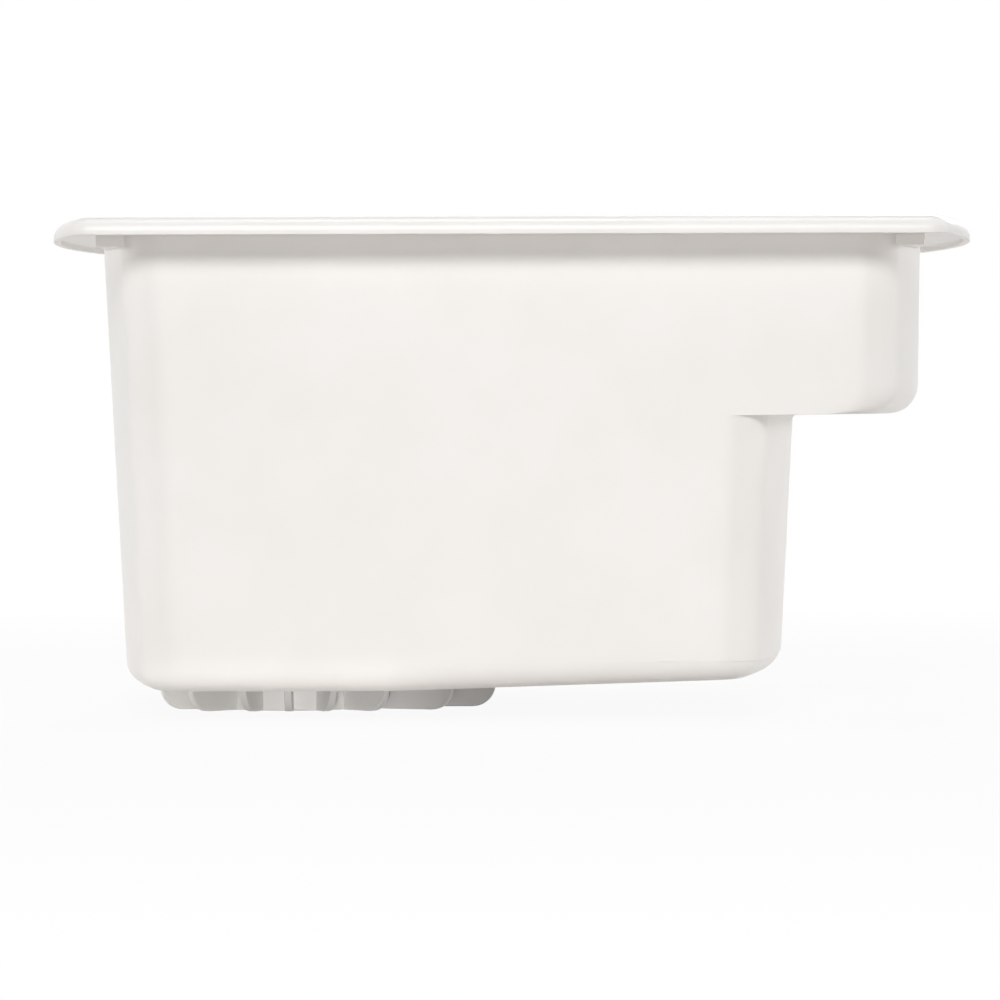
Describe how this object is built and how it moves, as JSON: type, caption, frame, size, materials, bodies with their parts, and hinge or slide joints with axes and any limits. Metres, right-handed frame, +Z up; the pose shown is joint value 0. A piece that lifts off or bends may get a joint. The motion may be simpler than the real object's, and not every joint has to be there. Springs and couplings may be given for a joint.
{
  "type": "utility sink",
  "caption": "Drop-in moulded utility sink with bowed ends, a deep tub, an inside shelf at one end, a faucet deck, a ribbed drain boss and a rubber stopper on a pull ring.",
  "frame": {"origin": "middle of the plane that the rim's lip rests on: the centre of the counter's cut-out, at the counter's top", "axes": "+X towards the end with the inside shelf, -Y towards the user, +Z up"},
  "size_m": [0.635, 0.559, 0.3326],
  "materials": {
    "tub_plastic": "smooth, semi-gloss moulded plastic",
    "drain_metal": "polished plating",
    "rubber": "matte",
    "fibre_washer": "matte pressed fibre",
    "nut_metal": "cast and brushed",
    "grid_steel": "brushed",
    "stopper_rubber": "matte",
    "ring_metal": "polished plating"
  },
  "bodies": {
    "sink": {"tub": "tub_plastic", "rim_deck": "tub_plastic", "ribbed_hub": "tub_plastic", "drain_body": "drain_metal", "flange_gasket": "rubber", "lower_gasket": "rubber", "friction_washer": "fibre_washer", "lock_nut": "nut_metal", "strainer_grid": "grid_steel", "grid_screw": "grid_steel"},
    "plug": {"stopper": "stopper_rubber", "stopper_eye": "ring_metal"},
    "ring": {"pull_ring": "ring_metal"}
  },
  "joints": [
    {"name": "stopper_lift", "type": "slide", "parent": "sink", "child": "plug", "axis": [0, 0, 1], "range_m": [0, 0.33]},
    {"name": "ring_swing", "type": "hinge", "parent": "plug", "child": "ring", "pos_m": [-0.1532, -0.0355, -0.2878], "axis": [0, -1, 0], "range_deg": [0, 195]}
  ]
}
